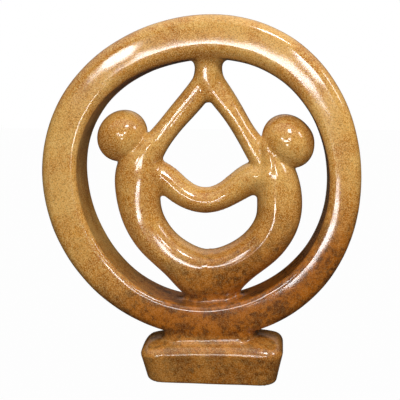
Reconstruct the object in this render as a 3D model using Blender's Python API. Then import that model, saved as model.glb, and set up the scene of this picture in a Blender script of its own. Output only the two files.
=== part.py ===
"""A couple carved in one block of stone: two figures curl up inside a ring, and the ring stands on a plinth.

Metres, +Z up. The origin is the middle of the plinth's underside, +X runs along the ring to the
right-hand figure, and the carving's front faces -Y. The ring and the figures all lie in the XZ plane,
so each form is a section swept along a path in that plane. The forms are fused, the seams are eased
as a carver eases them, and the foot is dressed flat.
"""

import bpy
import bmesh
import numpy as np
from math import cos, pi, radians, sin
from mathutils import Matrix, Vector

# The ring: its mean radii, depth and edges, and how it sits on the plinth
RING_OUTER_RADIUS = 0.1094
RING_OPENING_RADIUS = 0.0850
RING_DEPTH = 0.0370
RING_CROWN = 0.0012
RING_OUTER_EDGE = 0.0095
RING_INNER_EDGE = 0.0040
RING_OFFSET = -0.0079

# Hand carving leaves both of the ring's outlines a little off round: lobes, height in metres, bearing
OUTER_LOBES = ((2, 0.0006, -15.0), (3, 0.0015, 34.0), (4, 0.0005, 35.0))
OPENING_LOBES = ((1, 0.0023, 160.0), (2, 0.0008, -78.0), (3, 0.0011, 53.0), (4, 0.0008, 30.0))

# The plinth: a block that narrows to its foot, under a pillowed top that falls to its ends and faces
PLINTH_WIDTH = 0.0988
PLINTH_DEPTH = 0.0535
PLINTH_HEIGHT = 0.0308
PLINTH_END_FALL = 0.0062
PLINTH_FACE_FALL = 0.0050
PLINTH_SLOPE = 0.030
PLINTH_TAPER = 0.0040
PLINTH_CORNER = 0.0120
PLINTH_EDGE = 0.0055
FOOT_EDGE = 0.0040

# The short neck of stone left between the ring and the plinth
NECK_HEIGHT = 0.0006
NECK_WIDTH = 0.0640
NECK_DEPTH = 0.0330
NECK_OFFSET = -0.0025

# Depths of the figures, front to back, and the rounding of their edges: crisp towards the middle of the
# ring on the body and towards the diamond on the arms, softer on the other side
BODY_DEPTH = 0.0320
RAISED_ARM_DEPTH = 0.0190
LOWER_ARM_DEPTH = 0.0200
BODY_CRISP_EDGE = 0.0050
BODY_SOFT_EDGE = 0.0120
ARM_CRISP_EDGE = 0.0035
ARM_SOFT_EDGE = 0.0065
HEAD_DEPTH = 0.0330

# Stations along a limb: across, up, half width, all as shares of the opening's radius from the ring's
# centre, and the depth there as a share of the limb's own depth
BODY_PATH = (
    (-0.420, 0.300, 0.120, 0.80),
    (-0.508, 0.110, 0.170, 0.94),
    (-0.532, -0.120, 0.177, 1.00),
    (-0.508, -0.320, 0.160, 1.00),
    (-0.380, -0.535, 0.148, 1.00),
    (-0.184, -0.708, 0.158, 1.00),
    (0.048, -0.820, 0.222, 1.00),
    (0.287, -0.712, 0.169, 1.00),
    (0.488, -0.550, 0.160, 1.00),
    (0.607, -0.350, 0.172, 1.00),
    (0.624, -0.165, 0.173, 1.00),
    (0.588, 0.050, 0.153, 0.94),
    (0.530, 0.230, 0.110, 0.80),
)
LEFT_RAISED_ARM_PATH = (
    (-0.500, 0.080, 0.130, 1.30),
    (-0.432, 0.208, 0.116, 1.25),
    (-0.334, 0.334, 0.094, 1.08),
    (-0.173, 0.527, 0.095, 1.00),
    (-0.030, 0.695, 0.100, 1.00),
    (0.040, 0.820, 0.098, 1.00),
    (0.047, 1.020, 0.090, 1.05),
)
RIGHT_RAISED_ARM_PATH = (
    (0.560, 0.060, 0.110, 1.10),
    (0.470, 0.190, 0.098, 1.05),
    (0.370, 0.330, 0.083, 1.00),
    (0.240, 0.530, 0.089, 1.00),
    (0.118, 0.705, 0.102, 1.00),
    (0.052, 0.820, 0.096, 1.00),
    (0.045, 1.020, 0.086, 1.05),
)
JOINED_HANDS_PATH = (
    (0.045, 0.575, 0.050, 0.85),
    (0.045, 0.640, 0.070, 0.95),
    (0.046, 0.830, 0.092, 1.00),
    (0.046, 1.020, 0.092, 1.05),
)
LOWER_ARM_PATH = (
    (-0.480, 0.080, 0.120, 0.90),
    (-0.320, -0.002, 0.116, 0.92),
    (-0.170, -0.123, 0.108, 1.00),
    (0.015, -0.186, 0.100, 1.00),
    (0.175, -0.138, 0.106, 1.00),
    (0.330, -0.037, 0.120, 1.15),
    (0.470, 0.020, 0.125, 1.35),
    (0.580, 0.010, 0.125, 1.35),
)
SEAT_PATH = (
    (-0.300, -0.945, 0.020, 0.70),
    (-0.180, -0.950, 0.045, 0.85),
    (0.050, -0.960, 0.070, 1.00),
    (0.270, -0.935, 0.045, 0.85),
    (0.390, -0.905, 0.020, 0.70),
)

# Heads: across, up, half width, half height (shares of the opening's radius), lean in degrees
LEFT_HEAD = (-0.658, 0.334, 0.196, 0.215, -38.0)
RIGHT_HEAD = (0.688, 0.299, 0.198, 0.226, 40.0)

# The largest share of a section's half size that a rounded edge may take
EDGE_LIMIT = 0.95

# Fineness of the surface, how far the seams are eased, and what is cut off to dress the foot
PATH_STEPS = 8
RING_STEPS = 120
EDGE_STEPS = 5
FACE_STEPS = 4
HEAD_SEGMENTS = 48
GRAINS_ACROSS = 110
EASING_SHARE = 0.5
EASING_ROUNDS = 7
DETAIL_KEPT = 0.115
FOOT_TRIM = 0.0006

RING_CENTRE = Vector((RING_OFFSET, 0.0, PLINTH_HEIGHT + NECK_HEIGHT + RING_OUTER_RADIUS))


def clear_scene():
    """Remove every object that the scene starts with."""
    for thing in list(bpy.data.objects):
        bpy.data.objects.remove(thing, do_unlink=True)


def new_object(name, bm):
    """Turn a bmesh into an object with outward faces."""
    bmesh.ops.recalc_face_normals(bm, faces=bm.faces[:])
    mesh = bpy.data.meshes.new(name)
    bm.to_mesh(mesh)
    bm.free()
    thing = bpy.data.objects.new(name, mesh)
    bpy.context.scene.collection.objects.link(thing)
    return thing


def skin(bm, rings, closed):
    """Join rings of points into a tube, and cap the ends of an open one."""
    loops = [[bm.verts.new(point) for point in ring] for ring in rings]
    for low, high in zip(loops, loops[1:] + (loops[:1] if closed else [])):
        for i in range(len(low)):
            j = (i + 1) % len(low)
            bm.faces.new((low[i], low[j], high[j], high[i]))
    if not closed:
        bm.faces.new(list(reversed(loops[0])))
        bm.faces.new(loops[-1])


def rounded_rectangle(half_width, half_depth, radii):
    """Return a closed rounded rectangle as (across, back) points, with a radius for each corner.

    The corners run from +across and the front, by the back, to -across and the front.
    """
    arcs = []
    for index, ((side, face), wanted) in enumerate(zip(((1, -1), (1, 1), (-1, 1), (-1, -1)), radii)):
        radius = min(wanted, EDGE_LIMIT * half_width, EDGE_LIMIT * half_depth)
        turns = [radians(90.0 * (index - 1 + step / EDGE_STEPS)) for step in range(EDGE_STEPS + 1)]
        arcs.append([(side * (half_width - radius) + radius * cos(turn),
                      face * (half_depth - radius) + radius * sin(turn)) for turn in turns])
    points = []
    for arc, following in zip(arcs, arcs[1:] + arcs[:1]):
        points += arc
        (u, v), (next_u, next_v) = arc[-1], following[0]
        for step in range(1, FACE_STEPS):
            share = step / FACE_STEPS
            points.append((u + share * (next_u - u), v + share * (next_v - v)))
    return points


def section(half_width, half_depth, left_edge, right_edge, crown):
    """Return a section with its faces crowned and its left side, seen along the path, at +across."""
    outline = rounded_rectangle(half_width, half_depth, (left_edge, left_edge, right_edge, right_edge))
    return [(u, v * (1.0 + crown * (1.0 - (u / half_width) ** 2) / half_depth)) for u, v in outline]


def sweep(bm, frames, sections, closed):
    """Skin sections along a path in the XZ plane."""
    rings = []
    for (point, across), outline in zip(frames, sections):
        rings.append([point + across * u + Vector((0.0, v, 0.0)) for u, v in outline])
    skin(bm, rings, closed)


def spline(stations, steps):
    """Return points on a smooth curve through the stations, with steps points to each stretch."""
    table = np.array(stations)
    padded = np.vstack((2 * table[0] - table[1], table, 2 * table[-1] - table[-2]))
    points = []
    for i in range(len(table) - 1):
        p0, p1, p2, p3 = padded[i:i + 4]
        for step in range(steps):
            t = step / steps
            points.append(0.5 * (2 * p1 + (p2 - p0) * t + (2 * p0 - 5 * p1 + 4 * p2 - p3) * t ** 2
                                 + (3 * p1 - p0 - 3 * p2 + p3) * t ** 3))
    points.append(table[-1])
    return np.array(points)


def lobed(radius, lobes, bearing):
    """Return the radius at a bearing in radians, clockwise from the top, with the lobes added."""
    return radius + sum(height * cos(count * (bearing - radians(phase))) for count, height, phase in lobes)


def add_ring(bm):
    """Sweep the ring's crowned band round its own centre."""
    frames = []
    sections = []
    for step in range(RING_STEPS):
        bearing = 2 * pi * step / RING_STEPS
        outer = lobed(RING_OUTER_RADIUS, OUTER_LOBES, bearing)
        inner = lobed(RING_OPENING_RADIUS, OPENING_LOBES, bearing)
        across = Vector((sin(bearing), 0.0, cos(bearing)))
        half_width = (outer - inner) / 2
        frames.append((RING_CENTRE + across * (inner + half_width), across))
        sections.append(section(half_width, RING_DEPTH / 2, RING_OUTER_EDGE, RING_INNER_EDGE, RING_CROWN))
    sweep(bm, frames, sections, closed=True)


def add_limb(bm, stations, depth, left_edge, right_edge):
    """Sweep one limb along its stations, with the edges to the left and right of the way it runs."""
    path = spline(stations, PATH_STEPS)
    ways = np.gradient(path[:, :2], axis=0)
    ways /= np.linalg.norm(ways, axis=1)[:, None]
    frames = []
    sections = []
    for (x, z, half_width, share), (along_x, along_z) in zip(path, ways):
        point = RING_CENTRE + Vector((x, 0.0, z)) * RING_OPENING_RADIUS
        half_size = (half_width * RING_OPENING_RADIUS, share * depth / 2)
        frames.append((point, Vector((-along_z, 0.0, along_x))))
        sections.append(section(*half_size, left_edge, right_edge, 0.0))
    sweep(bm, frames, sections, closed=False)


def add_figures(bm):
    """Add the shared body and its seat, the raised and joined arms, the lower arms and the heads."""
    add_limb(bm, BODY_PATH, BODY_DEPTH, BODY_CRISP_EDGE, BODY_SOFT_EDGE)
    add_limb(bm, SEAT_PATH, BODY_DEPTH, BODY_CRISP_EDGE, BODY_CRISP_EDGE)
    add_limb(bm, LEFT_RAISED_ARM_PATH, RAISED_ARM_DEPTH, ARM_SOFT_EDGE, ARM_CRISP_EDGE)
    add_limb(bm, RIGHT_RAISED_ARM_PATH, RAISED_ARM_DEPTH, ARM_CRISP_EDGE, ARM_SOFT_EDGE)
    add_limb(bm, JOINED_HANDS_PATH, RAISED_ARM_DEPTH, ARM_SOFT_EDGE, ARM_SOFT_EDGE)
    add_limb(bm, LOWER_ARM_PATH, LOWER_ARM_DEPTH, LOWER_ARM_DEPTH / 2, LOWER_ARM_DEPTH / 2)
    add_head(bm, LEFT_HEAD)
    add_head(bm, RIGHT_HEAD)


def add_head(bm, place):
    """Add a plain egg-shaped head, leaning in the plane of the ring."""
    x, z, half_width, half_height, lean = place
    size = Vector((half_width * RING_OPENING_RADIUS, HEAD_DEPTH / 2, half_height * RING_OPENING_RADIUS))
    centre = RING_CENTRE + Vector((x, 0.0, z)) * RING_OPENING_RADIUS
    turn = Matrix.Rotation(radians(-lean), 4, "Y")
    bmesh.ops.create_uvsphere(bm, u_segments=HEAD_SEGMENTS, v_segments=HEAD_SEGMENTS // 2, radius=1.0,
                              matrix=Matrix.Translation(centre) @ turn @ Matrix.Diagonal(size).to_4x4())


def plan(width, depth, corner):
    """Return a rounded rectangle in plan as (x, y) points."""
    return rounded_rectangle(width / 2, depth / 2, (corner, corner, corner, corner))


def pillowed(x, y, height):
    """Return a point of the plinth with its top lowered towards the ends, the faces and -X."""
    fall = PLINTH_END_FALL * (2 * x / PLINTH_WIDTH) ** 2 + PLINTH_FACE_FALL * (2 * y / PLINTH_DEPTH) ** 2
    return (x, y, height - height / PLINTH_HEIGHT * (fall - PLINTH_SLOPE * x))


def add_plinth(bm):
    """Stack the plinth from its trimmed foot, over its rounded shoulder, to the middle of its top."""
    levels = []
    for step in range(EDGE_STEPS + 1):
        turn = radians(90.0) * step / EDGE_STEPS
        height = FOOT_EDGE * (1.0 - cos(turn)) - FOOT_TRIM
        levels.append((height, PLINTH_TAPER + FOOT_EDGE * (1.0 - sin(turn))))
    for step in range(EDGE_STEPS + 1):
        turn = radians(90.0) * step / EDGE_STEPS
        levels.append((PLINTH_HEIGHT - PLINTH_EDGE * (1.0 - sin(turn)), PLINTH_EDGE * (1.0 - cos(turn))))
    top_run = PLINTH_DEPTH / 2 - PLINTH_EDGE
    for step in range(1, FACE_STEPS):
        levels.append((PLINTH_HEIGHT, PLINTH_EDGE + top_run * step / FACE_STEPS))
    rings = []
    for height, inset in levels:
        outline = plan(PLINTH_WIDTH - 2 * inset, PLINTH_DEPTH - 2 * inset, PLINTH_CORNER)
        rings.append([pillowed(x, y, height) for x, y in outline])
    skin(bm, rings, closed=False)


def add_neck(bm):
    """Add the block of stone that joins the ring to the plinth."""
    outline = plan(NECK_WIDTH, NECK_DEPTH, PLINTH_CORNER)
    top = RING_CENTRE.z - RING_OUTER_RADIUS + (RING_OUTER_RADIUS - RING_OPENING_RADIUS) / 3
    skin(bm, [[(x + NECK_OFFSET, y, height) for x, y in outline] for height in (PLINTH_HEIGHT / 2, top)],
         closed=False)


def ease(stone):
    """Turn the overlapping forms into one skin, ease its seams and lighten it."""
    fused = stone.modifiers.new("one_skin", "REMESH")
    fused.mode = "VOXEL"
    fused.voxel_size = 2 * RING_OUTER_RADIUS / GRAINS_ACROSS
    smooth = stone.modifiers.new("ease", "SMOOTH")
    smooth.factor = EASING_SHARE
    smooth.iterations = EASING_ROUNDS
    lighter = stone.modifiers.new("lighten", "DECIMATE")
    lighter.ratio = DETAIL_KEPT


def dress_foot(stone):
    """Cut the underside flat at the floor."""
    bm = bmesh.new()
    bmesh.ops.create_cube(bm, size=1.0)
    depth = 2 * PLINTH_HEIGHT
    size = Vector((2 * PLINTH_WIDTH, 2 * PLINTH_DEPTH, depth))
    bm.transform(Matrix.Translation((0.0, 0.0, -depth / 2)) @ Matrix.Diagonal(size).to_4x4())
    floor = new_object("floor_cutter", bm)
    floor.hide_render = True
    floor.display_type = "WIRE"
    cut = stone.modifiers.new("dress_foot", "BOOLEAN")
    cut.operation = "DIFFERENCE"
    cut.solver = "EXACT"
    cut.object = floor


def stone_material():
    """Return the waxed brown stone's material."""
    material = bpy.data.materials.new("waxed_brown_stone")
    material.use_nodes = True
    shader = material.node_tree.nodes["Principled BSDF"]
    shader.inputs["Base Color"].default_value = (0.33, 0.15, 0.035, 1.0)
    shader.inputs["Roughness"].default_value = 0.25
    shader.inputs["Metallic"].default_value = 0.0
    return material


def build():
    """Make the statue as one solid."""
    clear_scene()
    bm = bmesh.new()
    add_ring(bm)
    add_neck(bm)
    add_plinth(bm)
    add_figures(bm)
    stone = new_object("couple_statue", bm)
    ease(stone)
    dress_foot(stone)
    stone.data.materials.append(stone_material())
    stone.data.shade_smooth()


build()
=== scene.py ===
"""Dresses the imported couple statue: one carved, waxed block of golden-brown stone in a pale studio.

The statue is one closed skin. Each form of the carving (the ring, the plinth and its neck, the limbs, the
heads) is a distance: a function that says how far a point lies outside that form. The forms are joined
with rounded seams, and the skin is drawn where the joined distance is nought. All sizes are in metres.
"""

import logging
import math
from collections.abc import Callable
from dataclasses import dataclass

import bpy
import numpy as np
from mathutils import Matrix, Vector


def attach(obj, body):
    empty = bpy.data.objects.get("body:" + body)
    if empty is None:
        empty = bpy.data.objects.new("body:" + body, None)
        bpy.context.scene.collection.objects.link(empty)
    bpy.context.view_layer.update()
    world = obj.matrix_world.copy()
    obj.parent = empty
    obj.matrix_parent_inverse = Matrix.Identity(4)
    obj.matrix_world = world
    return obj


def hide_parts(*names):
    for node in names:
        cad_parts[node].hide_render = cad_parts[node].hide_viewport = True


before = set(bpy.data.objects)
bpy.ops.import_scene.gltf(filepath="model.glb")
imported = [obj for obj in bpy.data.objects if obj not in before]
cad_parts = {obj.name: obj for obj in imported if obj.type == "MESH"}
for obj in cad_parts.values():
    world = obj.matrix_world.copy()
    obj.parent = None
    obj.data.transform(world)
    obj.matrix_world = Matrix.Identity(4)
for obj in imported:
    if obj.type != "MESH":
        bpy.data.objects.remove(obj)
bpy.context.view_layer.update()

log = logging.getLogger("couple_statue")

Triple = tuple[float, float, float]
Quad = tuple[float, float, float, float]
Lobes = tuple[tuple[int, float, float], ...]
Form = Callable[[np.ndarray, np.ndarray, np.ndarray], np.ndarray]

# The ring's opening, which the figures' stations are shares of, and the ring's centre above the floor
OPENING_RADIUS = 0.0850
RING_CENTRE_X = -0.0079
RING_CENTRE_Z = 0.1408

# Stations along a limb: across, up, half width (shares of the opening's radius from the ring's centre),
# and the depth there as a share of the limb's own depth
BODY_STATIONS = (
    (-0.438, 0.238, 0.122, 0.82),
    (-0.510, 0.110, 0.174, 0.94),
    (-0.533, -0.120, 0.183, 1.00),
    (-0.499, -0.318, 0.168, 1.00),
    (-0.374, -0.529, 0.158, 1.00),
    (-0.180, -0.698, 0.170, 1.00),
    (0.048, -0.810, 0.230, 1.00),
    (0.284, -0.704, 0.177, 1.00),
    (0.485, -0.546, 0.169, 1.00),
    (0.605, -0.350, 0.176, 1.00),
    (0.623, -0.165, 0.181, 1.00),
    (0.589, 0.050, 0.156, 0.94),
    (0.530, 0.230, 0.110, 0.80),
)
LEFT_RAISED_STATIONS = (
    (-0.500, 0.080, 0.130, 1.30),
    (-0.428, 0.204, 0.112, 1.25),
    (-0.334, 0.334, 0.095, 1.08),
    (-0.173, 0.527, 0.095, 1.00),
    (-0.030, 0.695, 0.100, 1.00),
    (0.040, 0.820, 0.098, 1.00),
    (0.047, 1.020, 0.090, 1.05),
)
RIGHT_RAISED_STATIONS = (
    (0.560, 0.060, 0.110, 1.10),
    (0.466, 0.187, 0.104, 1.05),
    (0.367, 0.328, 0.087, 1.00),
    (0.240, 0.530, 0.089, 1.00),
    (0.118, 0.705, 0.102, 1.00),
    (0.052, 0.820, 0.096, 1.00),
    (0.045, 1.020, 0.086, 1.05),
)
HANDS_STATIONS = (
    (0.045, 0.684, 0.076, 0.98),
    (0.046, 0.830, 0.092, 1.00),
    (0.046, 1.020, 0.092, 1.05),
)
LOWER_ARM_STATIONS = (
    (-0.480, 0.080, 0.120, 0.90),
    (-0.320, -0.004, 0.132, 0.92),
    (-0.170, -0.121, 0.120, 1.00),
    (0.015, -0.183, 0.114, 1.00),
    (0.175, -0.140, 0.116, 1.00),
    (0.330, -0.042, 0.128, 1.15),
    (0.470, 0.018, 0.130, 1.35),
    (0.580, 0.010, 0.125, 1.35),
)

# The largest share of a bar's smaller half that the radius of its edges may take
WIDEST_EDGE = 0.95

# Two colours that the stone's stains share, and the white of the studio
TAN = (0.80, 0.51, 0.17)
DARK = (0.100, 0.024, 0.001)
WHITE = (1.0, 1.0, 1.0)


def rounded_union(first: np.ndarray, second: np.ndarray, radius: float) -> np.ndarray:
    """Join two forms with a round fillet in the corner between them.

    Within the radius of both skins the distance is the radius less the length of both depths into it,
    and elsewhere it is the smaller of the two.

    Args:
        first: Distances to the first form.
        second: Distances to the second form.
        radius: Radius of the fillet.

    Returns:
        Distances to the joined form.
    """
    corner = np.hypot(np.maximum(radius - first, 0.0), np.maximum(radius - second, 0.0))
    return np.maximum(radius, np.minimum(first, second)) - corner


def rounded_cut(first: np.ndarray, second: np.ndarray, radius: float | np.ndarray) -> np.ndarray:
    """Keep what two forms share, with the edge between them rounded.

    Within the radius of both skins the distance is the length of both ways past it, less the radius, and
    elsewhere it is the larger of the two.

    Args:
        first: Distances to the first form.
        second: Distances to the second form.
        radius: Radius of the rounded edge.

    Returns:
        Distances to the shared form.
    """
    edge = np.hypot(np.maximum(first + radius, 0.0), np.maximum(second + radius, 0.0))
    return np.minimum(-radius, np.maximum(first, second)) + edge


def bar_distance(
    across: np.ndarray,
    back: np.ndarray,
    half_width: float | np.ndarray,
    half_depth: float | np.ndarray,
    left_edge: float | np.ndarray,
    right_edge: float | np.ndarray,
) -> np.ndarray:
    """Measure how far a point of a section lies outside a bar with rounded edges.

    The bar's sides are drawn in by the edge's radius, the distance to that smaller box is taken, and
    the radius is taken off again.

    Args:
        across: Place across the bar, with the left side positive.
        back: Place from front to back.
        half_width: Half the bar's width there.
        half_depth: Half the bar's depth there.
        left_edge: Radius of the edges on the left side.
        right_edge: Radius of the edges on the right side.

    Returns:
        Distances, negative inside.
    """
    edge = np.where(across > 0.0, left_edge, right_edge)
    edge = np.minimum(edge, WIDEST_EDGE * np.minimum(half_width, half_depth))
    side = np.abs(across) - half_width + edge
    face = np.abs(back) - half_depth + edge
    outside = np.hypot(np.maximum(side, 0.0), np.maximum(face, 0.0))
    return outside + np.minimum(np.maximum(side, face), 0.0) - edge


def make_piece(
    name: str, points: np.ndarray, quads: np.ndarray, material: bpy.types.Material
) -> bpy.types.Object:
    """Make a piece at the origin from points and four-sided faces.

    Args:
        name: Name of the piece and of its mesh.
        points: One row to a point.
        quads: Rows of four point numbers.
        material: What the piece is dressed in.

    Returns:
        The piece, linked into the scene.
    """
    mesh = bpy.data.meshes.new(name)
    mesh.from_pydata(points, [], quads)
    mesh.validate()
    mesh.materials.append(material)
    piece = bpy.data.objects.new(name, mesh)
    bpy.context.scene.collection.objects.link(piece)
    return piece


@dataclass(frozen=True)
class Section:
    """How a limb is carved across: two faces that meet in a ridge, between two walls, front and back alike.

    Attributes:
        ridge: Distance of the ridge from the left wall.
        left_fall: How steeply the face falls to the left of the ridge, in degrees.
        right_fall: How steeply it falls to the right.
        ridge_round: Radius of the ridge.
        left_edge: Radius between the left face and its wall.
        right_edge: Radius between the right face and its wall.
        ridge_ease: How much softer the ridge is a quarter of the way along.
    """

    ridge: float
    left_fall: float
    right_fall: float
    ridge_round: float
    left_edge: float
    right_edge: float
    ridge_ease: float = 0.0

    def distance(
        self,
        across: np.ndarray,
        back: np.ndarray,
        half_width: np.ndarray,
        half_depth: np.ndarray,
        share: np.ndarray,
    ) -> np.ndarray:
        """Measure how far a point lies outside the section, by cutting the faces and the walls in turn.

        Args:
            across: Place across, with the left side positive.
            back: Place from front to back.
            half_width: Half the width there.
            half_depth: Half the depth at the ridge there.
            share: How far along the limb it is, from nought to one.

        Returns:
            Distances, negative inside.
        """
        left, right = math.radians(self.left_fall), math.radians(self.right_fall)
        beyond = across - half_width + self.ridge
        height = np.abs(back) - half_depth
        left_face = beyond * math.sin(left) + height * math.cos(left)
        right_face = height * math.cos(right) - beyond * math.sin(right)
        ridge_round = self.ridge_round + self.ridge_ease * np.maximum(np.sin(math.tau * share), 0.0)
        faces = rounded_cut(left_face, right_face, ridge_round)
        walled = rounded_cut(faces, across - half_width, self.left_edge)
        return rounded_cut(walled, -across - half_width, self.right_edge)


class Course:
    """A smooth line through stations: a cubic spline on the length of its chords, straight at its ends.

    Attributes:
        SAMPLES: Count of the evenly spaced samples that a search starts from.
        ROUNDS: Count of Newton steps in a search.
        LEAST_RATE: The smallest rate of change that a Newton step divides by.
    """

    SAMPLES = 160
    ROUNDS = 4
    LEAST_RATE = 0.2

    def __init__(self, stations: np.ndarray) -> None:
        """Work out the spline's second derivatives at its stations.

        Args:
            stations: One row to a station. The first two columns are its place.
        """
        self.values = stations
        chords = np.linalg.norm(np.diff(self.values[:, :2], axis=0), axis=1)
        self.knots = np.concatenate(([0.0], np.cumsum(chords)))
        count = len(self.knots)
        system = np.eye(count)
        right = np.zeros_like(self.values)
        inner = np.arange(1, count - 1)
        before, after = chords[inner - 1], chords[inner]
        system[inner, inner - 1] = before
        system[inner, inner] = 2.0 * (before + after)
        system[inner, inner + 1] = after
        slopes = np.diff(self.values, axis=0) / chords[:, None]
        right[inner] = 6.0 * (slopes[inner] - slopes[inner - 1])
        self.bends = np.linalg.solve(system, right)

    @property
    def length(self) -> float:
        """Return the length of the chords."""
        return float(self.knots[-1])

    def at(self, place: np.ndarray) -> tuple[np.ndarray, np.ndarray, np.ndarray]:
        """Read the line at places along it.

        With a and b the shares of the way to the next and from the last knot, and w the width between
        them, the value is a low + b high + ((a3 - a) low bend + (b3 - b) high bend) w2 / 6, where a3 and
        b3 are cubes and w2 is a square. The other two are its derivatives.

        Args:
            place: Places along the line, as lengths of chord.

        Returns:
            The values, and their first and second derivatives.
        """
        span = np.clip(np.searchsorted(self.knots, place, side="right") - 1, 0, len(self.knots) - 2)
        width = (self.knots[span + 1] - self.knots[span])[..., None]
        b = (place - self.knots[span])[..., None] / width
        a = 1.0 - b
        low, high = self.values[span], self.values[span + 1]
        low_bend, high_bend = self.bends[span], self.bends[span + 1]
        value = a * low + b * high + ((a**3 - a) * low_bend + (b**3 - b) * high_bend) * width**2 / 6.0
        turn = (3 * b**2 - 1) * high_bend - (3 * a**2 - 1) * low_bend
        return value, (high - low) / width + turn * width / 6.0, a * low_bend + b * high_bend

    def nearest(self, x: np.ndarray, z: np.ndarray) -> np.ndarray:
        """Find the place along the line that is nearest to each point.

        The nearest of evenly spaced samples is the start. Newton's rule then brings the way from the
        line to the point square to the line.

        Args:
            x: Place across.
            z: Place up.

        Returns:
            Places along the line, between its ends.
        """
        grid = np.linspace(0.0, self.length, self.SAMPLES)
        marks = self.at(grid)[0][:, :2]
        points = np.stack((x, z), axis=-1)
        place = grid[np.argmin((marks**2).sum(axis=1) - 2.0 * points @ marks.T, axis=1)]
        reach = self.length / (self.SAMPLES - 1)
        low, high = np.maximum(place - reach, 0.0), np.minimum(place + reach, self.length)
        for _ in range(self.ROUNDS):
            value, slope, bend = self.at(place)
            gap = value[:, :2] - points
            error = (gap * slope[:, :2]).sum(axis=1)
            rate = (slope[:, :2] ** 2).sum(axis=1) + (gap * bend[:, :2]).sum(axis=1)
            place = np.clip(place - error / np.maximum(rate, self.LEAST_RATE), low, high)
        return place


@dataclass(frozen=True)
class Limb:
    """A limb: a section carried along its stations in the plane of the ring.

    Attributes:
        stations: Across, up, half width (shares of the opening's radius) and share of the depth.
        depth: Full depth from front to back at the ridge.
        section: How it is carved across. Its left is the left of the way that the stations run.
    """

    stations: tuple[Quad, ...]
    depth: float
    section: Section

    def distance(self, x: np.ndarray, y: np.ndarray, z: np.ndarray) -> np.ndarray:
        """Measure the distance to the limb: the section's distance, with round ends past its stations.

        Args:
            x: Place across.
            y: Place from front to back.
            z: Place up.

        Returns:
            Distances, negative inside.
        """
        course = Course(np.array(self.stations) * (OPENING_RADIUS, OPENING_RADIUS, OPENING_RADIUS, 1.0))
        flat_x, flat_z = (x - RING_CENTRE_X).ravel(), (z - RING_CENTRE_Z).ravel()
        place = course.nearest(flat_x, flat_z)
        value, slope, _ = course.at(place)
        way = slope[:, :2] / np.linalg.norm(slope[:, :2], axis=1)[:, None]
        gap_x, gap_z = flat_x - value[:, 0], flat_z - value[:, 1]
        across = (gap_z * way[:, 0] - gap_x * way[:, 1]).reshape(x.shape)
        past = np.abs(gap_x * way[:, 0] + gap_z * way[:, 1])
        past = np.where((place <= 0.0) | (place >= course.length), past, 0.0).reshape(x.shape)
        half_width = value[:, 2].reshape(x.shape)
        half_depth = (value[:, 3] * self.depth / 2).reshape(x.shape)
        share = (place / course.length).reshape(x.shape)
        carved = self.section.distance(across, y, half_width, half_depth, share)
        cap = np.minimum(half_width, half_depth)
        return np.hypot(np.maximum(carved + cap, 0.0), past) - cap


@dataclass(frozen=True)
class Ring:
    """The ring: a crowned band whose two outlines are a little off round.

    Attributes:
        outer_radius: Mean radius outside.
        depth: Depth from front to back at its edges.
        crown: How much higher its middle stands on each face.
        outer_edge: Radius of its outer edges.
        inner_edge: Radius of its inner edges at the sides and below.
        inner_ease: How much softer the inner edges are at the top.
        outer_lobes: Count, height and bearing of each lobe of the outer outline.
        opening_lobes: The same for the opening.
    """

    outer_radius: float = 0.1092
    depth: float = 0.0370
    crown: float = 0.0008
    outer_edge: float = 0.0065
    inner_edge: float = 0.0032
    inner_ease: float = 0.0055
    outer_lobes: Lobes = (
        (2, 0.0006, -15.0),
        (3, 0.0015, 34.0),
        (4, 0.0005, 35.0),
    )
    opening_lobes: Lobes = (
        (1, 0.0023, 160.0),
        (2, 0.0008, -78.0),
        (3, 0.0011, 53.0),
        (4, 0.0008, 30.0),
    )

    def distance(self, x: np.ndarray, y: np.ndarray, z: np.ndarray) -> np.ndarray:
        """Measure the distance to the band: its section, taken in polar places about its centre.

        Args:
            x: Place across.
            y: Place from front to back.
            z: Place up.

        Returns:
            Distances, negative inside.
        """
        bearing = np.arctan2(x - RING_CENTRE_X, z - RING_CENTRE_Z)
        reach = np.hypot(x - RING_CENTRE_X, z - RING_CENTRE_Z)
        outer = self.lobed(self.outer_radius, self.outer_lobes, bearing)
        inner = self.lobed(OPENING_RADIUS, self.opening_lobes, bearing)
        half_width = (outer - inner) / 2
        across = reach - (outer + inner) / 2
        crowned = self.depth / 2 + self.crown * (1.0 - np.clip(across / half_width, -1.0, 1.0) ** 2)
        inner_edge = self.inner_edge + self.inner_ease * np.maximum(np.cos(bearing), 0.0) ** 2
        return bar_distance(across, y, half_width, crowned, self.outer_edge, inner_edge)

    @staticmethod
    def lobed(radius: float, lobes: Lobes, bearing: np.ndarray) -> np.ndarray:
        """Add cosine lobes to a radius, each with its count, height and bearing clockwise from the top."""
        heights = [height * np.cos(count * (bearing - math.radians(at))) for count, height, at in lobes]
        return radius + sum(heights)


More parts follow.
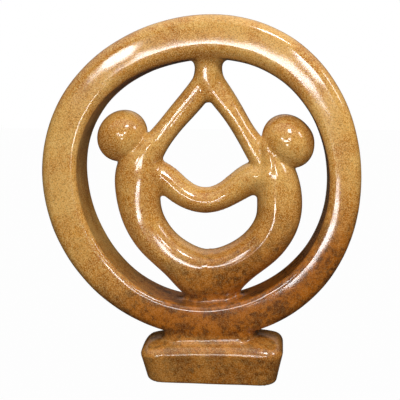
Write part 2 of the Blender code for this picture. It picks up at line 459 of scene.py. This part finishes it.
@dataclass(frozen=True)
class Head:
    """A plain egg-shaped head that leans in the plane of the ring.

    Attributes:
        across: Place of its middle, as a share of the opening's radius from the ring's centre.
        up: The same, upwards.
        half_width: Half width as a share of the opening's radius.
        half_height: Half height as a share of the opening's radius.
        lean: Lean to the left in degrees.
        depth: Depth from front to back.
        least_steepness: The smallest gradient that the distance is divided by, for its very middle.
    """

    across: float
    up: float
    half_width: float
    half_height: float
    lean: float
    depth: float = 0.0330
    least_steepness: float = 1e-6

    def distance(self, x: np.ndarray, y: np.ndarray, z: np.ndarray) -> np.ndarray:
        """Measure the distance to an ellipsoid, by its scaled length over its gradient's length.

        Args:
            x: Place across.
            y: Place from front to back.
            z: Place up.

        Returns:
            Distances, negative inside.
        """
        turn = math.radians(self.lean)
        right = x - RING_CENTRE_X - self.across * OPENING_RADIUS
        high = z - RING_CENTRE_Z - self.up * OPENING_RADIUS
        along = right * math.cos(turn) + high * math.sin(turn)
        rise = high * math.cos(turn) - right * math.sin(turn)
        radii = (self.half_width * OPENING_RADIUS, self.depth / 2, self.half_height * OPENING_RADIUS)
        scaled = np.sqrt((along / radii[0]) ** 2 + (y / radii[1]) ** 2 + (rise / radii[2]) ** 2)
        steep = np.sqrt(
            (along / radii[0] ** 2) ** 2 + (y / radii[1] ** 2) ** 2 + (rise / radii[2] ** 2) ** 2
        )
        return scaled * (scaled - 1.0) / np.maximum(steep, self.least_steepness)


@dataclass(frozen=True)
class Plinth:
    """The plinth: a block that narrows to its foot, under a pillowed top that falls to its rims.

    Attributes:
        width: Full width at its shoulder.
        offset: Place of its middle across.
        depth: Full depth at its shoulder.
        height: Height at its middle.
        end_fall: How far the top falls to its two ends.
        face_fall: How far the top falls to its front and back.
        slope: Rise of the top towards +X, as a share.
        least_squeeze: The smallest share of the height that the top may fall to, far outside the block.
        taper: How much narrower each side is at the foot.
        corner: Radius of its corners in plan.
        edge: Radius of its top edge.
        foot_edge: Radius of its foot's edge.
        foot_trim: What is cut off below to make the foot flat.
    """

    width: float = 0.0988
    offset: float = -0.0006
    depth: float = 0.0526
    height: float = 0.0308
    end_fall: float = 0.0042
    face_fall: float = 0.0050
    slope: float = 0.030
    least_squeeze: float = 0.3
    taper: float = 0.0040
    corner: float = 0.0120
    edge: float = 0.0052
    foot_edge: float = 0.0026
    foot_trim: float = 0.0004

    def distance(self, x: np.ndarray, y: np.ndarray, z: np.ndarray) -> np.ndarray:
        """Measure the distance to the plinth.

        The height of a point is first stretched by what the top has fallen there, so the top is level.
        The block is then the shared part of a tapered rounded plan, a level top and a level foot.

        Args:
            x: Place across.
            y: Place from front to back.
            z: Place up.

        Returns:
            Distances, negative inside.
        """
        x = x - self.offset
        fall = self.end_fall * (2 * x / self.width) ** 4 + self.face_fall * (2 * y / self.depth) ** 2
        squeeze = np.maximum(1.0 - (fall - self.slope * x) / self.height, self.least_squeeze)
        level = z / squeeze
        rise = (level - self.foot_edge) / (self.height - self.edge - self.foot_edge)
        inset = self.taper * (1.0 - np.clip(rise, -1.0, 1.0))
        side_x = np.abs(x) - self.width / 2 + inset + self.corner
        side_y = np.abs(y) - self.depth / 2 + inset + self.corner
        outside = np.hypot(np.maximum(side_x, 0.0), np.maximum(side_y, 0.0))
        wall = outside + np.minimum(np.maximum(side_x, side_y), 0.0) - self.corner
        topped = rounded_cut(wall, (level - self.height) * squeeze, self.edge)
        return rounded_cut(topped, -self.foot_trim - z, self.foot_edge)


@dataclass(frozen=True)
class Neck:
    """The short neck of stone between the ring and the plinth.

    Attributes:
        width: Full width.
        depth: Full depth.
        offset: Place of its middle across.
        corner: Radius of its upright corners.
        low: Height where it starts, inside the plinth.
        high: Height where it ends, inside the ring.
    """

    width: float = 0.0640
    depth: float = 0.0368
    offset: float = -0.0025
    corner: float = 0.0120
    low: float = 0.0154
    high: float = 0.0420

    def distance(self, x: np.ndarray, y: np.ndarray, z: np.ndarray) -> np.ndarray:
        """Measure the distance to an upright block with rounded corners."""
        plan = bar_distance(x - self.offset, y, self.width / 2, self.depth / 2, self.corner, self.corner)
        return np.maximum(plan, np.abs(z - (self.low + self.high) / 2) - (self.high - self.low) / 2)


@dataclass(frozen=True)
class Seams:
    """Radii of the fillets where the carving's forms meet.

    Attributes:
        raised_arms: Between the two raised arms.
        hands: Between the raised arms and the joined hands.
        elbows: Between the bodies and the lower arm.
        shoulders: Between the bodies and the raised arms.
        left_head: Around the left head.
        right_head: Around the right head.
        neck: Between the neck and the ring.
        shelf: Between the plinth and what stands on it.
        seat: Between the figures and the ring.
    """

    raised_arms: float = 0.0040
    hands: float = 0.0012
    elbows: float = 0.0045
    shoulders: float = 0.0016
    left_head: float = 0.0007
    right_head: float = 0.0009
    neck: float = 0.0016
    shelf: float = 0.0025
    seat: float = 0.0065


@dataclass(frozen=True)
class Ripple:
    """Low waves on a hand-carved face: two crossed sines, multiplied.

    Attributes:
        height: Height of the waves.
        first: Radians per metre across, back and up, and the phase, of the first sine.
        second: The same for the second sine.
    """

    height: float
    first: Quad
    second: Quad

    def lift(self, x: np.ndarray, y: np.ndarray, z: np.ndarray) -> np.ndarray:
        """Return the height of the waves at each point."""
        sines = [np.sin(k * x + m * y + n * z + phase) for k, m, n, phase in (self.first, self.second)]
        return self.height * sines[0] * sines[1]


class Wire:
    """A number that flows between nodes, so that sums on it add Math nodes."""

    def __init__(self, bench: "Bench", socket: bpy.types.NodeSocket) -> None:
        """Hold the socket that the number comes out of."""
        self.bench = bench
        self.socket = socket

    def math(self, operation: str, first: object, second: object) -> "Wire":
        """Add one Math node and return what comes out of it."""
        node = self.bench.node("ShaderNodeMath", {"operation": operation}, {0: first, 1: second})
        return Wire(self.bench, node.outputs[0])

    def __add__(self, other: object) -> "Wire":
        """Add a number or a wire."""
        return self.math("ADD", self, other)

    __radd__ = __add__

    def __mul__(self, other: object) -> "Wire":
        """Multiply by a number or a wire."""
        return self.math("MULTIPLY", self, other)

    __rmul__ = __mul__

    def __sub__(self, other: object) -> "Wire":
        """Take a number or a wire off."""
        return self.math("SUBTRACT", self, other)

    def __rsub__(self, other: object) -> "Wire":
        """Take this off a number or a wire."""
        return self.math("SUBTRACT", other, self)


@dataclass(frozen=True)
class Grain:
    """One noise that runs through the stone.

    Attributes:
        scale: How many times it turns in a metre.
        detail: How many finer layers it has.
        roughness: How strong the finer layers are.
        distortion: How far it is stirred.
    """

    scale: float
    detail: float
    roughness: float
    distortion: float = 0.0


class Bench:
    """The nodes of a material or of the world, being added and linked."""

    def __init__(self, owner: bpy.types.Material | bpy.types.World) -> None:
        """Turn the owner's nodes on and hold them."""
        owner.use_nodes = True
        self.tree = owner.node_tree

    def node(
        self, kind: str, settings: dict[str, object] | None = None, inputs: dict[object, object] | None = None
    ) -> bpy.types.Node:
        """Add any node: its type, then its settings, then the values or links of its sockets.

        Args:
            kind: The node's type.
            settings: Properties that are set first.
            inputs: Socket name or number to a value, a socket or a wire.

        Returns:
            The new node.
        """
        made = self.tree.nodes.new(kind)
        for key, value in (settings or {}).items():
            setattr(made, key, value)
        for key, value in (inputs or {}).items():
            self.put(made.inputs[key], value)
        return made

    def put(self, socket: bpy.types.NodeSocket, value: object) -> None:
        """Link a wire or a socket to a socket, or set its value.

        Args:
            socket: The socket that takes it.
            value: A wire, a socket, a number or a colour.
        """
        if isinstance(value, Wire):
            value = value.socket
        if isinstance(value, bpy.types.NodeSocket):
            self.tree.links.new(value, socket)
        elif socket.type == "RGBA":
            socket.default_value = (*value, 1.0)
        else:
            socket.default_value = value

    def feed(self, name: str, value: object) -> None:
        """Put a value or a link on the Principled shader."""
        self.put(self.tree.nodes["Principled BSDF"].inputs[name], value)

    def seen(self) -> Wire:
        """Return one where the camera looks and nought for every other ray."""
        return Wire(self, self.node("ShaderNodeLightPath").outputs["Is Camera Ray"])

    def axis(self, place: object, axis: str) -> Wire:
        """Return one coordinate of a place."""
        return Wire(self, self.node("ShaderNodeSeparateXYZ", None, {0: place}).outputs[axis])

    def noise(self, place: object, grain: Grain) -> Wire:
        """Read a noise in the stone.

        Args:
            place: The socket that the place comes out of.
            grain: Which noise.

        Returns:
            Its value, mostly between 0.3 and 0.7.
        """
        inputs = {
            "Vector": place,
            "Scale": grain.scale,
            "Detail": grain.detail,
            "Roughness": grain.roughness,
            "Distortion": grain.distortion,
        }
        return Wire(self, self.node("ShaderNodeTexNoise", {"noise_dimensions": "3D"}, inputs).outputs["Fac"])

    def smooth_step(self, value: Wire, start: float, end: float) -> Wire:
        """Make an S-shaped rise.

        Args:
            value: What is looked at.
            start: Where the rise is nought.
            end: Where it is one. It may lie below the start.

        Returns:
            The rise, from nought to one.
        """
        inputs = {"Value": value, "From Min": start, "From Max": end}
        made = self.node("ShaderNodeMapRange", {"interpolation_type": "SMOOTHSTEP"}, inputs)
        return Wire(self, made.outputs["Result"])

    def mix(self, first: object, second: object, share: object) -> bpy.types.NodeSocket:
        """Mix two colours: the second takes the share that is given."""
        made = self.node("ShaderNodeMix", {"data_type": "RGBA"}, {0: share, 6: first, 7: second})
        return made.outputs[2]


@dataclass(frozen=True)
class Stain:
    """A colour that lies on the stone where a noise is past a band.

    Attributes:
        colour: The colour.
        start: Noise value where it begins to show.
        full: Noise value where it shows in full.
        share: Its share there on the stone above the painted shade.
        painted_shade_change: What is added to that share where shade is painted low down.
    """

    colour: Triple
    start: float
    full: float
    share: float
    painted_shade_change: float = 0.0

    def lay(self, bench: Bench, under: object, noise: Wire, low: Wire) -> bpy.types.NodeSocket:
        """Lay the stain over the colour under it; low is the mask of painted shade, and it changes the
        stain's share there.
        """
        share = bench.smooth_step(noise, self.start, self.full) * (self.share + self.painted_shade_change * low)
        return bench.mix(under, self.colour, share)


@dataclass(frozen=True)
class WaxedStone:
    """The finish of the stone: ochre and brown clouds, a fine speckle and a waxed gloss, painted darker and
    redder towards the bottom as shade, with painted light on the plinth.

    Attributes:
        name: Name of the material.
        ochre: Light ground of the stone above the painted shade.
        brown: Darker clouds of the stone above the painted shade.
        rust: Light ground low down, where the stone is painted darker and redder as shade.
        umber: Darker clouds low down, in the painted shade.
        clouds: Noise of the large clouds.
        patches: Noise of the patches in them.
        mottle: Noise of the mottling, a few millimetres wide.
        speckle: Noise of the speckle, about a millimetre wide.
        grit: Noise of the finest grit.
        cloud_share: Share of the clouds in the pattern above the painted shade. The patches have the rest.
        cloud_band: Values between which the stone above the painted shade turns from ochre to brown.
        patch_share: Share of the patches in the pattern of the painted shade low down. The mottling has the
            rest.
        patch_band: Values between which the painted shade low down turns from rust to umber.
        pale_clouds: Pale stain on the clouds' hollows.
        pale_mottle: Pale stain on the mottling's hollows.
        dark_veins: Dark stain on the mottling's tops.
        dark_specks: Dark stain on the speckle's tops.
        pale_specks: Pale stain on the speckle's hollows.
        flecks: Bright stain on the grit's tops.
        painted_shade_band: Heights between which the painted shade comes in, painting the stone darker and
            redder towards the bottom.
        painted_shade_lean: How much that border climbs towards +X.
        painted_shade_stray: How far the clouds move it.
        plinth_light_band: Heights between which light is painted on the plinth.
        plinth_light_share: How much of the painted shade the plinth's painted light takes away.
        roughness: Roughness under the wax.
        mottle_roughness: How much rougher the mottling's tops are.
        specular: Gloss under the wax.
        coat: Share of the wax.
        coat_roughness: Roughness of the wax.
        coat_bend: How strongly the wax bends light.
    """

    name: str = "waxed_brown_stone"
    ochre: Triple = (0.63, 0.250, 0.024)
    brown: Triple = (0.45, 0.142, 0.009)
    rust: Triple = (0.42, 0.115, 0.004)
    umber: Triple = (0.13, 0.030, 0.002)
    clouds: Grain = Grain(scale=30.0, detail=4.0, roughness=0.60, distortion=0.4)
    patches: Grain = Grain(scale=69.0, detail=5.0, roughness=0.65, distortion=0.2)
    mottle: Grain = Grain(scale=230.0, detail=5.0, roughness=0.62, distortion=0.6)
    speckle: Grain = Grain(scale=1000.0, detail=3.0, roughness=0.70)
    grit: Grain = Grain(scale=1500.0, detail=2.0, roughness=0.60)
    cloud_share: float = 0.6
    cloud_band: tuple[float, float] = (0.40, 0.62)
    patch_share: float = 0.5
    patch_band: tuple[float, float] = (0.42, 0.60)
    pale_clouds: Stain = Stain(TAN, start=0.54, full=0.38, share=0.34, painted_shade_change=-0.33)
    pale_mottle: Stain = Stain(TAN, start=0.50, full=0.36, share=0.26, painted_shade_change=-0.24)
    dark_veins: Stain = Stain(DARK, start=0.54, full=0.70, share=0.22, painted_shade_change=0.40)
    dark_specks: Stain = Stain(DARK, start=0.50, full=0.62, share=0.45)
    pale_specks: Stain = Stain(TAN, start=0.49, full=0.37, share=0.50, painted_shade_change=-0.46)
    flecks: Stain = Stain((0.95, 0.70, 0.27), start=0.50, full=0.60, share=0.50, painted_shade_change=-0.38)
    painted_shade_band: tuple[float, float] = (0.125, 0.055)
    painted_shade_lean: float = 0.35
    painted_shade_stray: float = 0.05
    plinth_light_band: tuple[float, float] = (0.036, 0.028)
    plinth_light_share: float = 0.28
    roughness: float = 0.32
    mottle_roughness: float = 0.10
    specular: float = 0.05
    coat: float = 0.9
    coat_roughness: float = 0.115
    coat_bend: float = 1.60

    def make(self) -> bpy.types.Material:
        """Build the material from object coordinates, so the pattern runs through the stone."""
        material = bpy.data.materials.new(self.name)
        bench = Bench(material)
        place = bench.node("ShaderNodeTexCoord").outputs["Object"]
        clouds = bench.noise(place, self.clouds)
        patches = bench.noise(place, self.patches)
        mottle = bench.noise(place, self.mottle)
        speckle = bench.noise(place, self.speckle)
        grit = bench.noise(place, self.grit)

        # Painted shade: low is one below a wavy border that climbs towards +X, and there the stone is painted
        # darker and redder.
        up = bench.axis(place, "Z")
        border = up - self.painted_shade_lean * bench.axis(place, "X") + self.painted_shade_stray * (clouds - 0.5)
        # Painted light: foot is one on the plinth, and it takes part of the painted shade off there, so the
        # plinth is painted lighter.
        foot = bench.smooth_step(up, *self.plinth_light_band)
        low = bench.smooth_step(border, *self.painted_shade_band) - self.plinth_light_share * foot

        # upper is the stone's ground above the painted shade; lower is its ground painted darker and redder
        # as shade.
        cloudy = clouds * self.cloud_share + patches * (1.0 - self.cloud_share)
        upper = bench.mix(self.ochre, self.brown, bench.smooth_step(cloudy, *self.cloud_band))
        patchy = patches * self.patch_share + mottle * (1.0 - self.patch_share)
        lower = bench.mix(self.rust, self.umber, bench.smooth_step(patchy, *self.patch_band))
        colour = bench.mix(upper, lower, low)
        stains = (
            (self.pale_clouds, clouds),
            (self.pale_mottle, mottle),
            (self.dark_veins, mottle),
            (self.dark_specks, speckle),
            (self.pale_specks, speckle),
            (self.flecks, grit),
        )
        for stain, noise in stains:
            colour = stain.lay(bench, colour, noise, low)

        bench.feed("Base Color", colour)
        bench.feed("Roughness", self.roughness + self.mottle_roughness * mottle)
        bench.feed("Specular IOR Level", self.specular)
        bench.feed("Coat Weight", self.coat)
        bench.feed("Coat Roughness", self.coat_roughness)
        bench.feed("Coat IOR", self.coat_bend)
        return material


class Skin:
    """Draws the skin where a distance is nought.

    One point is put in each grid cell that the skin passes through, at the mean of the crossings on the
    cell's edges, and is then moved on to the skin itself. Each grid edge that the skin crosses gets a
    four-sided face between the four cells around it.

    Attributes:
        CELLS_AROUND: The four cells around a grid edge, in turn, as steps back along the other two axes.
        ROUNDS: How many times the points are moved.
        PROBE: Step for the gradient, as a share of the spacing.
        LEAST_SLOPE: The smallest squared gradient that a move divides by.
        LONGEST_MOVE: The longest move, as a share of the spacing.
        TINY: The shortest length that is divided by.
    """

    CELLS_AROUND = ((1, 1), (0, 1), (0, 0), (1, 0))
    ROUNDS = 2
    PROBE = 0.1
    LEAST_SLOPE = 0.1
    LONGEST_MOVE = 0.7
    TINY = 1e-9

    def __init__(self, distance: Form, spacing: float) -> None:
        """Hold the distance and the spacing of the grid."""
        self.distance = distance
        self.spacing = spacing

    def draw(self, low: Triple, high: Triple) -> tuple[np.ndarray, np.ndarray]:
        """Draw the skin inside a box that lies evenly about the XZ plane.

        Args:
            low: Lowest corner.
            high: Highest corner.

        Returns:
            The points, and the faces as rows of four point numbers.
        """
        half = np.arange(math.ceil(high[1] / self.spacing) + 1) * self.spacing
        axes = [
            np.arange(low[0], high[0], self.spacing),
            np.concatenate((-half[:0:-1], half)),
            np.arange(low[2], high[2], self.spacing),
        ]
        x, z = np.meshgrid(axes[0], axes[2], indexing="ij")
        field = self.distance(x.reshape(-1, 1), axes[1].reshape(1, -1), z.reshape(-1, 1))
        return self.net(field.reshape(*x.shape, len(axes[1])).transpose(0, 2, 1), axes)

    def net(self, field: np.ndarray, axes: list[np.ndarray]) -> tuple[np.ndarray, np.ndarray]:
        """Draw the net of points and faces on the grid.

        Args:
            field: Distances on the grid, negative inside.
            axes: The grid's places along each axis.

        Returns:
            The points, and the faces as rows of four point numbers.
        """
        cells = tuple(length - 1 for length in field.shape)
        total = np.zeros(cells + (3,))
        count = np.zeros(cells)
        found = []
        for axis in range(3):
            place, outward, around = self.crossings(field, axis)
            for cell in around:
                np.add.at(total, tuple(cell.T), place)
                np.add.at(count, tuple(cell.T), 1.0)
            found.append((outward if axis != 1 else ~outward, around))
        used = np.argwhere(count > 0)
        number = np.full(cells, -1)
        number[tuple(used.T)] = np.arange(len(used))
        mean = total[tuple(used.T)] / count[tuple(used.T)][:, None]
        points = self.settle(np.array([axis[0] for axis in axes]) + mean * self.spacing)
        quads = []
        for turned, around in found:
            loop = np.stack([number[tuple(cell.T)] for cell in around], axis=1)
            quads.append(np.where(turned[:, None], loop, loop[:, ::-1]))
        return points, np.concatenate(quads)

    def crossings(self, field: np.ndarray, axis: int) -> tuple[np.ndarray, np.ndarray, list[np.ndarray]]:
        """Find where the skin crosses the grid's edges along one axis.

        The crossing's share of the edge is the first distance over the first less the second.

        Args:
            field: Distances on the grid, negative inside.
            axis: Number of the axis.

        Returns:
            The crossings in grid steps, whether each leads out of the stone, and the four cells around.
        """
        here, there = np.delete(field, -1, axis), np.delete(field, 0, axis)
        crossed = np.argwhere((here < 0.0) != (there < 0.0))
        first, second = here[tuple(crossed.T)], there[tuple(crossed.T)]
        place = crossed.astype(float)
        place[:, axis] += first / (first - second)
        one, two = [other for other in range(3) if other != axis]
        around = []
        for back_one, back_two in self.CELLS_AROUND:
            cell = crossed.copy()
            cell[:, one] -= back_one
            cell[:, two] -= back_two
            around.append(cell)
        cells = np.array(field.shape) - 1
        inner = np.all([(cell >= 0) & (cell < cells) for cell in around], axis=(0, 2))
        return place[inner], first[inner] < 0.0, [cell[inner] for cell in around]

    def settle(self, points: np.ndarray) -> np.ndarray:
        """Move points on to the skin along the distance's own gradient.

        Each move is the distance times the gradient over the gradient's square, back towards the skin.

        Args:
            points: One row to a point, near the skin.

        Returns:
            The moved points.
        """
        step = self.PROBE * self.spacing
        for _ in range(self.ROUNDS):
            x, y, z = (column[:, None] for column in points.T)
            pair = self.distance(x, y + (0.0, step), z)
            here = pair[:, 0]
            right = self.distance(x + step, y, z)[:, 0]
            above = self.distance(x, y, z + step)[:, 0]
            gradient = np.stack((right - here, pair[:, 1] - here, above - here), axis=1) / step
            size = np.maximum((gradient**2).sum(axis=1), self.LEAST_SLOPE)
            move = -(here / size)[:, None] * gradient
            length = np.maximum(np.linalg.norm(move, axis=1), self.TINY)
            points = points + move * np.minimum(1.0, self.LONGEST_MOVE * self.spacing / length)[:, None]
        return points


@dataclass(frozen=True)
class Statue:
    """The whole carving, as one skin of one block.

    Attributes:
        spacing: Spacing of the grid that the skin is drawn on.
        quick_spacing: The same for a quick try. Not used.
        low_corner: Lowest corner of that grid.
        high_corner: Highest corner of that grid.
        body: Both bodies, as one limb from the left shoulder down and up to the right one.
        left_raised: The left figure's raised arm.
        right_raised: The right figure's raised arm.
        hands: The joined hands under the ring's top.
        lower_arm: The lower arms, joined as one limb.
        left_head: The left figure's head.
        right_head: The right figure's head.
        ring: The ring around them.
        plinth: The plinth.
        neck: The neck between ring and plinth.
        seams: Where they meet.
        ripples: Waves that hand carving leaves, 20 to 60 mm long.
    """

    spacing: float = 0.00128
    quick_spacing: float = 0.0018
    low_corner: Triple = (-0.1215, -0.0300, -0.0030)
    high_corner: Triple = (0.1030, 0.0300, 0.2540)
    body: Limb = Limb(
        stations=BODY_STATIONS,
        depth=0.0320,
        section=Section(
            ridge=0.0095,
            left_fall=34.0,
            right_fall=8.0,
            ridge_round=0.0030,
            left_edge=0.0080,
            right_edge=0.0120,
            ridge_ease=0.0060,
        ),
    )
    left_raised: Limb = Limb(
        stations=LEFT_RAISED_STATIONS,
        depth=0.0190,
        section=Section(
            ridge=0.0107,
            left_fall=8.0,
            right_fall=36.0,
            ridge_round=0.0035,
            left_edge=0.0060,
            right_edge=0.0040,
        ),
    )
    right_raised: Limb = Limb(
        stations=RIGHT_RAISED_STATIONS,
        depth=0.0190,
        section=Section(
            ridge=0.0056,
            left_fall=30.0,
            right_fall=26.0,
            ridge_round=0.0020,
            left_edge=0.0040,
            right_edge=0.0050,
        ),
    )
    hands: Limb = Limb(
        stations=HANDS_STATIONS,
        depth=0.0190,
        section=Section(
            ridge=0.0105,
            left_fall=10.0,
            right_fall=34.0,
            ridge_round=0.0025,
            left_edge=0.0055,
            right_edge=0.0050,
        ),
    )
    lower_arm: Limb = Limb(
        stations=LOWER_ARM_STATIONS,
        depth=0.0200,
        section=Section(
            ridge=0.0118,
            left_fall=24.0,
            right_fall=32.0,
            ridge_round=0.0030,
            left_edge=0.0080,
            right_edge=0.0070,
        ),
    )
    left_head: Head = Head(across=-0.658, up=0.335, half_width=0.197, half_height=0.218, lean=-38.0)
    right_head: Head = Head(across=0.684, up=0.297, half_width=0.198, half_height=0.227, lean=40.0)
    ring: Ring = Ring()
    plinth: Plinth = Plinth()
    neck: Neck = Neck()
    seams: Seams = Seams()
    ripples: tuple[Ripple, ...] = (
        Ripple(0.000060, (130.0, 0.0, 70.0, 1.0), (-60.0, 90.0, 0.0, 0.4)),
        Ripple(0.000060, (-80.0, 0.0, 150.0, 2.2), (110.0, 0.0, 0.0, 3.0 + math.pi / 2)),
        Ripple(0.000024, (240.0, 0.0, 200.0, 0.0), (-120.0, 0.0, 150.0, math.pi / 2)),
    )

    def distance(self, x: np.ndarray, y: np.ndarray, z: np.ndarray) -> np.ndarray:
        """Measure the distance to the joined forms, with the waves on it.

        Args:
            x: Place across.
            y: Place from front to back.
            z: Place up.

        Returns:
            Distances, negative inside.
        """
        seams = self.seams
        raised = rounded_union(
            self.left_raised.distance(x, y, z), self.right_raised.distance(x, y, z), seams.raised_arms
        )
        raised = rounded_union(raised, self.hands.distance(x, y, z), seams.hands)
        body = rounded_union(self.body.distance(x, y, z), self.lower_arm.distance(x, y, z), seams.elbows)
        figures = rounded_union(body, raised, seams.shoulders)
        figures = rounded_union(figures, self.left_head.distance(x, y, z), seams.left_head)
        figures = rounded_union(figures, self.right_head.distance(x, y, z), seams.right_head)
        held = rounded_union(self.neck.distance(x, y, z), self.ring.distance(x, y, z), seams.neck)
        stand = rounded_union(self.plinth.distance(x, y, z), held, seams.shelf)
        joined = rounded_union(stand, figures, seams.seat)
        return joined + sum(ripple.lift(x, y, z) for ripple in self.ripples)

    def build(self) -> bpy.types.Object:
        """Draw the skin, dress it and put it in the frame."""
        spacing = self.spacing
        points, quads = Skin(self.distance, spacing).draw(self.low_corner, self.high_corner)
        points[:, 2] = np.maximum(points[:, 2], 0.0)
        piece = make_piece("carved_couple", points, quads, WaxedStone().make())
        piece.data.shade_smooth()
        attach(piece, "root")
        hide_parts("couple_statue")
        return piece


@dataclass(frozen=True)
class Floor:
    """A plain pale floor: a grid of squares.

    Attributes:
        side: Length of each side.
        squares: Count of squares along a side.
        drop: How far it lies below the statue's foot.
        shade: Its grey where light falls on it.
        glow: Strength of the white that the camera sees.
        glow_share: Share of that white.
    """

    side: float = 8.0
    squares: int = 8
    drop: float = 0.0002
    shade: float = 0.025
    glow: float = 1.015
    glow_share: float = 0.97

    def build(self) -> bpy.types.Object:
        """Lay the floor."""
        row = self.squares + 1
        places = np.linspace(-self.side / 2, self.side / 2, row)
        x, y = np.meshgrid(places, places, indexing="ij")
        points = np.stack((x.ravel(), y.ravel(), np.full(x.size, -self.drop)), axis=1)
        start = (np.arange(self.squares)[:, None] * row + np.arange(self.squares)).ravel()
        quads = np.stack((start, start + row, start + row + 1, start + 1), axis=1)
        piece = make_piece("pale_floor", points, quads, self.material())
        return piece

    def material(self) -> bpy.types.Material:
        """Build the floor's material: grey to the light, near white to the camera."""
        material = bpy.data.materials.new("pale_floor")
        bench = Bench(material)
        bench.feed("Base Color", (self.shade, self.shade, self.shade))
        bench.feed("Roughness", 1.0)
        bench.feed("Specular IOR Level", 0.0)
        white = bench.node("ShaderNodeEmission", None, {"Color": WHITE, "Strength": self.glow})
        shaded = bench.tree.nodes["Principled BSDF"]
        share = bench.seen() * self.glow_share
        both = bench.node("ShaderNodeMixShader", None, {0: share, 1: shaded.outputs[0], 2: white.outputs[0]})
        bench.put(bench.tree.nodes["Material Output"].inputs["Surface"], both.outputs[0])
        return material


@dataclass(frozen=True)
class SoftBox:
    """A soft box of white light.

    Attributes:
        name: Name of the light.
        place: Where its middle hangs.
        size: Width and height of the box.
        power: Power in watts.
    """

    name: str
    place: Triple
    size: tuple[float, float]
    power: float

    def hang(self, target: Vector) -> None:
        """Hang the box so that it faces a point.

        Args:
            target: The point.
        """
        lamp = bpy.data.lights.new(self.name, "AREA")
        lamp.shape = "RECTANGLE"
        lamp.size, lamp.size_y = self.size
        lamp.energy = self.power
        thing = bpy.data.objects.new(self.name, lamp)
        thing.location = self.place
        thing.rotation_mode = "QUATERNION"
        thing.rotation_quaternion = (target - Vector(self.place)).to_track_quat("-Z", "Y")
        bpy.context.scene.collection.objects.link(thing)


@dataclass(frozen=True)
class Studio:
    """A plain pale studio: the room's light, soft boxes and the camera.

    Attributes:
        azimuth: Camera's bearing to the right of the front, in degrees.
        elevation: Camera's height above the horizon, in degrees.
        distance: Camera's distance from what it looks at.
        lens: Focal length in millimetres.
        sensor: Width of the camera's sensor in millimetres.
        clip: Nearest and farthest distance that the camera sees.
        target: The point that it looks at.
        sky_band: Heights of a ray, as its unit length's rise, between which the room turns from dark to
            white. To the camera it is white all over.
        boxes: The soft boxes.
    """

    azimuth: float = 5.5
    elevation: float = 7.5
    distance: float = 0.560
    lens: float = 72.64
    sensor: float = 36.0
    clip: tuple[float, float] = (0.02, 50.0)
    target: Triple = (-0.00986, 0.0, 0.12498)
    sky_band: tuple[float, float] = (0.15, 1.0)
    boxes: tuple[SoftBox, ...] = (
        SoftBox("upper_box", (0.180, -0.450, 0.590), (0.12, 0.12), 1.40),
        SoftBox("front_box", (-0.035, -0.700, 0.200), (0.25, 0.07), 1.05),
        SoftBox("left_box", (-0.225, -0.700, 0.285), (0.07, 0.09), 0.50),
        SoftBox("right_box", (0.160, -0.700, 0.300), (0.09, 0.09), 0.60),
        SoftBox("low_box", (0.015, -0.700, 0.020), (0.09, 0.06), 0.42),
        SoftBox("low_left_box", (-0.290, -0.450, -0.040), (0.08, 0.06), 0.45),
        SoftBox("side_box", (0.550, -0.240, 0.480), (0.12, 0.16), 0.70),
    )

    def build(self) -> None:
        """Light the room, hang the soft boxes and set up the camera."""
        self.room()
        for box in self.boxes:
            box.hang(Vector(self.target))
        self.camera()

    def room(self) -> None:
        """Fill the room with soft white light from above."""
        world = bpy.data.worlds.new("white_room")
        bench = Bench(world)
        way = bench.node("ShaderNodeTexCoord").outputs["Generated"]
        sky = bench.smooth_step(bench.axis(way, "Z"), *self.sky_band)
        room = bench.tree.nodes["Background"]
        bench.put(room.inputs["Color"], WHITE)
        bench.put(room.inputs["Strength"], sky + bench.seen() * (1.0 - sky))
        bpy.context.scene.world = world
        bpy.context.scene.view_settings.view_transform = "Standard"

    def camera(self) -> None:
        """Set up the camera at the photograph's angle."""
        lens = bpy.data.cameras.new("camera")
        lens.lens, lens.sensor_width = self.lens, self.sensor
        lens.clip_start, lens.clip_end = self.clip
        thing = bpy.data.objects.new("camera", lens)
        turn, rise = math.radians(self.azimuth), math.radians(self.elevation)
        away = Vector((math.sin(turn) * math.cos(rise), -math.cos(turn) * math.cos(rise), math.sin(rise)))
        thing.location = Vector(self.target) + away * self.distance
        thing.rotation_mode = "QUATERNION"
        thing.rotation_quaternion = (-away).to_track_quat("-Z", "Y")
        bpy.context.scene.collection.objects.link(thing)
        bpy.context.scene.camera = thing


def main() -> None:
    """Build the statue, the floor and the studio, and log each piece's counts of points and faces."""
    logging.basicConfig(level=logging.INFO)
    for maker in (Statue(), Floor()):
        piece = maker.build()
        log.info("%s: %d points, %d faces", piece.name, len(piece.data.vertices), len(piece.data.polygons))
    Studio().build()


if __name__ == "__main__":
    main()
